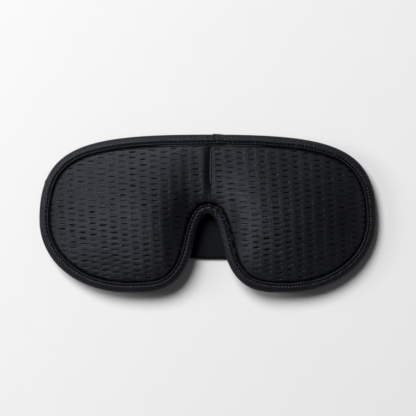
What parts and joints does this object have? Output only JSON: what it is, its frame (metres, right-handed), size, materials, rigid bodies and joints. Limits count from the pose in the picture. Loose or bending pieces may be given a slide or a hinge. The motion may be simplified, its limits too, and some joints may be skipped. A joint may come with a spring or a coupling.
{
  "type": "contoured sleep eye mask",
  "caption": "Contoured sleep mask: domed padded eye cups with a nose notch, bound round the edge, and elastic straps with a hook-and-loop closure folded under it.",
  "frame": {"origin": "middle of the bounding box in X and Y, on the surface that the mask lies on", "axes": "+X along the mask's width, to the right as seen from the front; +Y towards the forehead; +Z out of the front"},
  "size_m": [0.214, 0.1006, 0.0245],
  "materials": {
    "cover_fabric": "knitted cover with columns of short slits",
    "foam": "moulded soft foam, hidden",
    "lining_fabric": "smooth brushed knit",
    "binding_tape": "woven bias tape",
    "thread": "dark sewing thread",
    "elastic": "flat woven elastic",
    "loop_tape": "brushed loop pile",
    "hook_tape": "woven tape covered in small plastic hooks"
  },
  "bodies": {
    "left_half": {"front_cover_left": "cover_fabric", "foam_cup_left": "foam", "inner_lining_left": "lining_fabric", "edge_binding_left": "binding_tape", "binding_stitch_front_left": "thread", "binding_stitch_back_left": "thread", "centre_seam_thread": "thread", "strap_sewn_end_left": "elastic", "strap_tack_left": "thread"},
    "right_half": {"front_cover_right": "cover_fabric", "foam_cup_right": "foam", "inner_lining_right": "lining_fabric", "edge_binding_right": "binding_tape", "binding_lap": "binding_tape", "binding_stitch_front_right": "thread", "binding_stitch_back_right": "thread", "strap_sewn_end_right": "elastic", "strap_tack_right": "thread"},
    "left_strap": {"strap_left": "elastic", "loop_patch": "loop_tape", "loop_patch_stitch": "thread"},
    "right_strap": {"strap_right": "elastic", "hook_patch": "hook_tape", "hook_patch_stitch": "thread"}
  },
  "joints": [
    {"name": "nose_fold", "type": "hinge", "parent": "left_half", "child": "right_half", "pos_m": [0, 0, 0.0166], "axis": [0, -1, 0], "range_deg": [0, 125], "stiffness_Nm_per_rad": 0.03},
    {"name": "left_strap_fold", "type": "hinge", "parent": "left_half", "child": "left_strap", "pos_m": [-0.1042, 0.006, 0.00155], "axis": [0.1219, 0.9925, 0], "range_deg": [0, 180]},
    {"name": "right_strap_fold", "type": "hinge", "parent": "right_half", "child": "right_strap", "pos_m": [0.1003, 0.009, 0.00174], "axis": [-0.0506, -0.9987, 0], "range_deg": [0, 180]}
  ]
}
